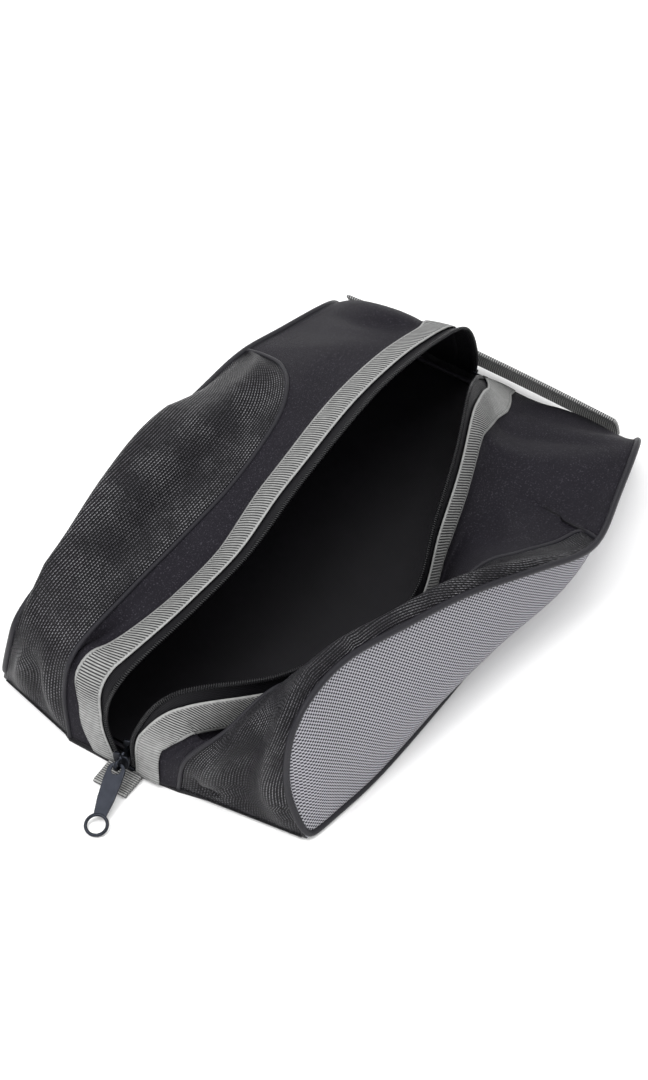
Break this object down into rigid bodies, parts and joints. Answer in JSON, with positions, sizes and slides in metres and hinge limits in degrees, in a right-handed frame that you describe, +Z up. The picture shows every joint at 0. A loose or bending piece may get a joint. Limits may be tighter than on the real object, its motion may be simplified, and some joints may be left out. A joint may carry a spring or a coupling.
{
  "type": "golf shoe bag",
  "caption": "Low black golf shoe bag lying open on its base, with checked side panels, net gussets, grey ribbon beside an open lengthwise zip, a hanging puller and a heel handle.",
  "frame": {"origin": "on the floor under the middle of the base", "axes": "+X towards the handle end, +Y to the bag's left, +Z up"},
  "size_m": [0.4268, 0.2716, 0.1115],
  "materials": {
    "black_cloth": "plain polyester weave",
    "black_net": "open knitted net",
    "checked_cloth": "fine black and grey check",
    "black_piping": "cord in smooth cloth",
    "grey_ribbon": "ribbed grosgrain",
    "grey_webbing": "ribbed webbing",
    "zip_tape": "fine woven tape",
    "zip_teeth": "moulded coil",
    "black_metal": "dark satin",
    "base_board": "cloth covered board"
  },
  "bodies": {
    "root": {"base_panel": "black_cloth", "base_board": "base_board", "base_seam_binding": "black_piping", "left_side_panel": "checked_cloth", "right_side_panel": "checked_cloth", "left_side_piping": "black_piping", "right_side_piping": "black_piping", "left_mesh_gusset": "black_net", "right_mesh_gusset": "black_net", "left_seam_piping": "black_piping", "right_seam_piping": "black_piping", "left_top_panel": "black_cloth", "right_top_panel": "black_cloth", "zip_bottom_stop": "black_metal", "left_top_stop": "black_metal", "right_top_stop": "black_metal"},
    "left_lip": {"left_zip_teeth": "zip_teeth", "left_zip_tape": "zip_tape", "left_ribbon": "grey_ribbon"},
    "right_lip": {"right_zip_teeth": "zip_teeth", "right_zip_tape": "zip_tape", "right_ribbon": "grey_ribbon"},
    "slider": {"slider_body": "black_metal", "slider_crown": "black_metal"},
    "puller": {"zip_puller": "black_metal"},
    "handle": {"handle": "grey_webbing"},
    "front_tab": {"front_tab": "grey_webbing"}
  },
  "joints": [
    {"name": "left_lip_swing", "type": "hinge", "parent": "root", "child": "left_lip", "pos_m": [-0.1872, 0.0065, 0.003], "axis": [-0.9998, 0.0177, 0], "range_deg": [0, 55], "deforming": ["left_top_panel", "left_mesh_gusset", "left_seam_piping", "left_zip_tape", "left_ribbon", "left_zip_teeth"]},
    {"name": "right_lip_swing", "type": "hinge", "parent": "root", "child": "right_lip", "pos_m": [-0.1872, 0.0065, 0.003], "axis": [-0.9998, 0.0177, 0], "range_deg": [0, 60], "deforming": ["right_top_panel", "right_mesh_gusset", "right_seam_piping", "right_zip_tape", "right_ribbon", "right_zip_teeth"]},
    {"name": "slider_travel", "type": "slide", "parent": "root", "child": "slider", "axis": [0.115, 0.18, 0.9769], "range_m": [0, 0.012]},
    {"name": "puller_swing", "type": "hinge", "parent": "slider", "child": "puller", "pos_m": [-0.19544, 0.0065, 0.0136], "axis": [-0.2538, 0.9673, 0], "range_deg": [0, 108]},
    {"name": "handle_swing", "type": "hinge", "parent": "root", "child": "handle", "pos_m": [0.178, 0, 0.0214], "axis": [0, -1, 0], "range_deg": [0, 60]},
    {"name": "front_tab_lift", "type": "hinge", "parent": "root", "child": "front_tab", "pos_m": [-0.1889, 0.0065, 0.0014], "axis": [0, 1, 0], "range_deg": [0, 25]}
  ]
}
